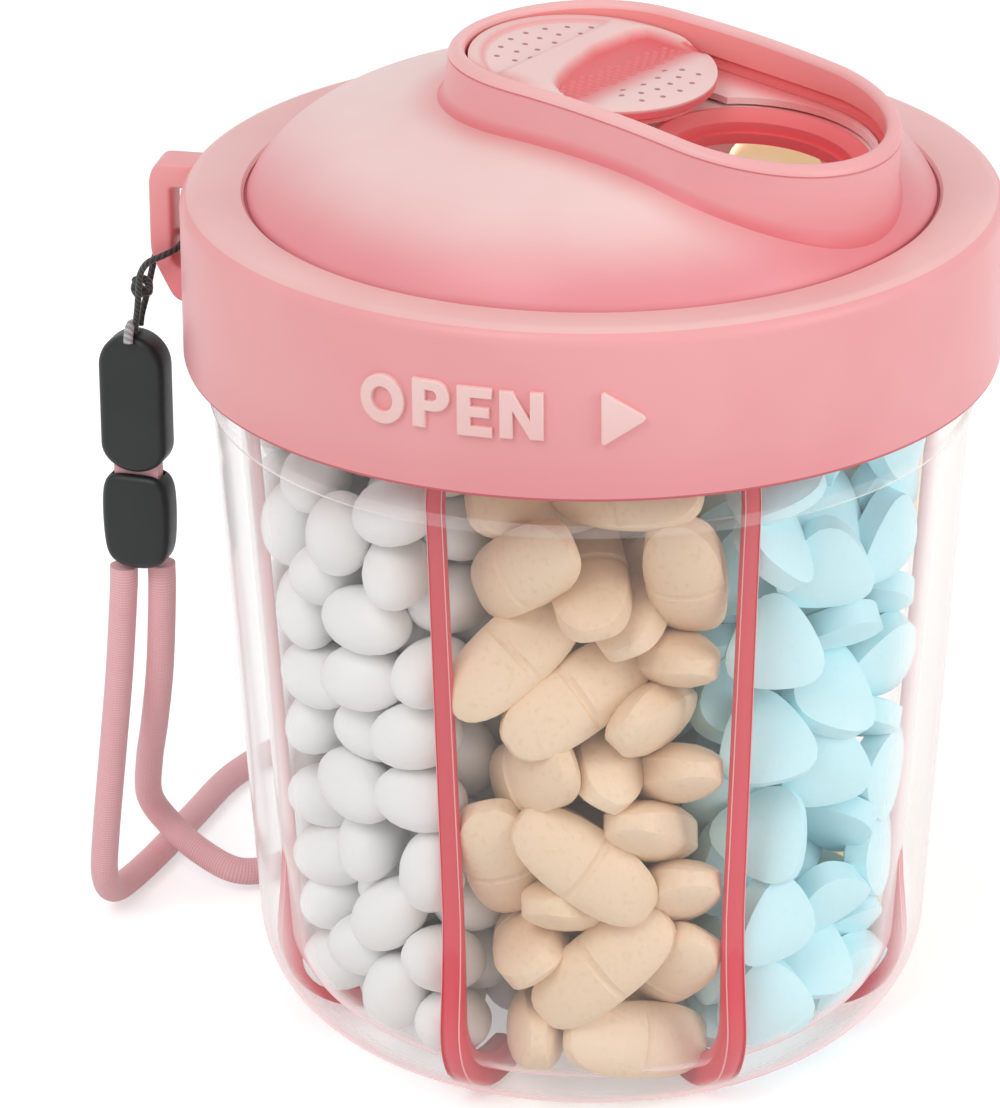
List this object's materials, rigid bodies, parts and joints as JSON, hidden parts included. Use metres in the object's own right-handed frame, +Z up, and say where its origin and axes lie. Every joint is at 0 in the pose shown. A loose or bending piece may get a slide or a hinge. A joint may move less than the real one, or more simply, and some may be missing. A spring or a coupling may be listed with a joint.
{
  "type": "weekly pill dispenser",
  "caption": "Clear tapered cup with a radial divider, a twist-off collar, a turntable dome with a sliding door over one hole, and a wrist strap on a buckled cord.",
  "frame": {"origin": "centre of the cup's flat base, on the cup's axis", "axes": "+Z up along the cup's axis, -Y towards the front of the picture's view, +X to its right"},
  "size_m": [0.0969, 0.1042, 0.1067],
  "materials": {
    "clear_plastic": "clear polished moulding",
    "divider_plastic": "clear polished moulding",
    "coral_edge": "soft coral edging",
    "pink_plastic": "satin pink moulding",
    "seal": "matt silicone",
    "door_plastic": "pale pink moulding",
    "black_plastic": "satin black moulding",
    "black_cord": "fine black cord",
    "pink_strap": "woven pink strap"
  },
  "bodies": {
    "cup": {"cup": "clear_plastic", "divider_insert": "divider_plastic", "divider_edge_1": "coral_edge", "divider_edge_2": "coral_edge", "divider_edge_3": "coral_edge", "divider_edge_4": "coral_edge", "divider_edge_5": "coral_edge", "divider_edge_6": "coral_edge", "divider_edge_7": "coral_edge"},
    "seal": {"lid_seal": "seal"},
    "collar": {"collar": "pink_plastic", "strap_cord": "black_cord", "buckle_socket": "black_plastic"},
    "strap": {"buckle_plug": "black_plastic", "buckle_tongue": "pink_strap", "wrist_strap": "pink_strap"},
    "dome": {"dome": "pink_plastic", "door_rail_rear": "pink_plastic", "door_rail_front": "pink_plastic"},
    "door": {"door_cap": "door_plastic", "door_shutter": "pink_plastic"}
  },
  "joints": [
    {"name": "lid_lift", "type": "slide", "parent": "cup", "child": "seal", "axis": [0, 0, 1], "range_m": [0, 0.03]},
    {"name": "collar_twist", "type": "hinge", "parent": "seal", "child": "collar", "pos_m": [0, 0, 0.08], "axis": [0, 0, 1], "range_deg": [0, 40]},
    {"name": "dome_turn", "type": "hinge", "parent": "collar", "child": "dome", "pos_m": [0, 0, 0.09], "axis": [0, 0, 1], "continuous": true},
    {"name": "door_slide", "type": "slide", "parent": "dome", "child": "door", "axis": [0.8151, -0.5707, -0.0995], "range_m": [0, 0.0198]},
    {"name": "buckle_release", "type": "slide", "parent": "collar", "child": "strap", "axis": [0, 0, -1], "range_m": [0, 0.008]}
  ]
}
